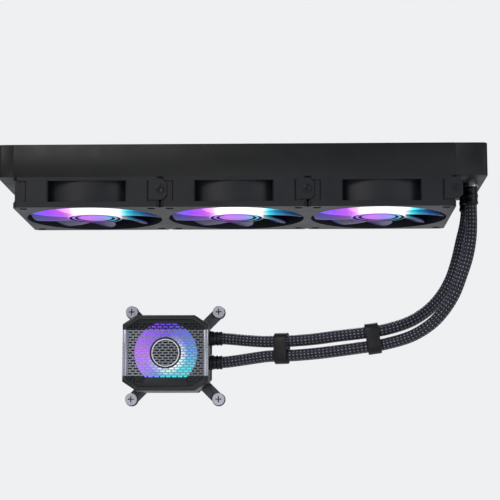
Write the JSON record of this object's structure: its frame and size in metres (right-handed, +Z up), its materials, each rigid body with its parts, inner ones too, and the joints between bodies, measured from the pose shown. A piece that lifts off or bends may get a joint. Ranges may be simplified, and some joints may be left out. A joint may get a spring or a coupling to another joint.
{
  "type": "liquid cooling radiator",
  "caption": "Closed-loop liquid cooler: slim finned radiator with a row of lit fans beneath it, joined by braided hoses to a pump head with a cold plate.",
  "frame": {"origin": "centre of the radiator's top face, in the middle of the middle bay's four case screw holes", "axes": "+X along the row towards the inlet tank and its hoses, +Y away from the pump's lit face and towards the cold plate's contact side, +Z up, out of the radiator's top face"},
  "size_m": [0.399, 0.1212, 0.2082],
  "materials": {
    "core_metal": "black-coated thin sheet",
    "radiator_paint": "satin black powder coat",
    "bright_steel": "plated",
    "black_steel": "black oxide",
    "screw_nickel": "satin nickel",
    "bracket_steel": "satin grey plate",
    "black_collar": "black anodised",
    "hose_braid": "tight nylon braid over a rubber hose",
    "black_plastic": "fine grain",
    "fan_plastic": "satin moulded, reinforced",
    "lit_rotor": "frosted translucent, lit from the hub",
    "magnet": "bonded ferrite",
    "bearing_brass": "sintered",
    "winding": "enamelled copper wire",
    "circuit_board": "solder mask",
    "copper": "machined copper",
    "seal_rubber": "smooth",
    "white_plastic": "smooth",
    "pin_ceramic": "ground ceramic",
    "light_diffuser": "frosted diffuser",
    "pump_plastic": "satin moulded",
    "mesh_metal": "satin perforated sheet",
    "strip_metal": "brushed"
  },
  "bodies": {
    "cooler": {"coolant_tubes": "core_metal", "folded_fins": "core_metal", "header_plates": "radiator_paint", "return_tank": "radiator_paint", "inlet_tank": "radiator_paint", "side_rails": "radiator_paint", "fill_plug": "bright_steel", "fill_plug_seal": "seal_rubber", "radiator_barbs": "bright_steel", "radiator_collars": "black_collar", "pump_collars": "black_collar", "hose_upper": "hose_braid", "hose_lower": "hose_braid", "comb_by_pump": "black_plastic", "comb_midway": "black_plastic", "fan_screws": "black_steel", "link_screws": "black_steel", "cold_plate": "copper", "cold_plate_screws": "bright_steel", "plate_gasket": "seal_rubber", "coolant_housing": "black_plastic", "impeller_pin": "pin_ceramic", "pump_stator": "winding", "pump_board": "circuit_board", "light_ring": "light_diffuser", "pump_shell": "pump_plastic", "pump_bezel": "pump_plastic", "mesh_cover": "mesh_metal", "side_strips": "strip_metal", "badge_plate": "pump_plastic", "hose_fittings": "black_plastic", "fitting_seals": "seal_rubber", "retention_bracket": "bracket_steel", "screw_springs": "bright_steel", "fan_1_frame": "fan_plastic", "fan_1_bearing": "bearing_brass", "fan_1_stator": "winding", "fan_1_board": "circuit_board", "fan_2_frame": "fan_plastic", "fan_2_bearing": "bearing_brass", "fan_2_stator": "winding", "fan_2_board": "circuit_board", "fan_3_frame": "fan_plastic", "fan_3_bearing": "bearing_brass", "fan_3_stator": "winding", "fan_3_board": "circuit_board"},
    "fan_1_spinner": {"fan_1_rotor": "lit_rotor", "fan_1_shaft": "bright_steel", "fan_1_magnet": "magnet"},
    "fan_2_spinner": {"fan_2_rotor": "lit_rotor", "fan_2_shaft": "bright_steel", "fan_2_magnet": "magnet"},
    "fan_3_spinner": {"fan_3_rotor": "lit_rotor", "fan_3_shaft": "bright_steel", "fan_3_magnet": "magnet"},
    "pump_impeller": {"impeller": "white_plastic"},
    "captive_1": {"captive_screw_1": "screw_nickel"},
    "captive_2": {"captive_screw_2": "screw_nickel"},
    "captive_3": {"captive_screw_3": "screw_nickel"},
    "captive_4": {"captive_screw_4": "screw_nickel"}
  },
  "joints": [
    {"name": "fan_1_spin", "type": "hinge", "parent": "cooler", "child": "fan_1_spinner", "pos_m": [-0.12, 0, -0.04], "axis": [0, 0, 1], "continuous": true},
    {"name": "fan_2_spin", "type": "hinge", "parent": "cooler", "child": "fan_2_spinner", "pos_m": [0, 0, -0.04], "axis": [0, 0, 1], "continuous": true},
    {"name": "fan_3_spin", "type": "hinge", "parent": "cooler", "child": "fan_3_spinner", "pos_m": [0.12, 0, -0.04], "axis": [0, 0, 1], "continuous": true},
    {"name": "impeller_spin", "type": "hinge", "parent": "cooler", "child": "pump_impeller", "pos_m": [-0.054, 0.045, -0.165], "axis": [0, 1, 0], "continuous": true},
    {"name": "captive_1_turn", "type": "hinge", "parent": "cooler", "child": "captive_1", "pos_m": [-0.0915, 0.045, -0.1275], "axis": [0, 1, 0], "continuous": true},
    {"name": "captive_2_turn", "type": "hinge", "parent": "cooler", "child": "captive_2", "pos_m": [-0.0165, 0.045, -0.1275], "axis": [0, 1, 0], "continuous": true},
    {"name": "captive_3_turn", "type": "hinge", "parent": "cooler", "child": "captive_3", "pos_m": [-0.0915, 0.045, -0.2025], "axis": [0, 1, 0], "continuous": true},
    {"name": "captive_4_turn", "type": "hinge", "parent": "cooler", "child": "captive_4", "pos_m": [-0.0165, 0.045, -0.2025], "axis": [0, 1, 0], "continuous": true}
  ]
}
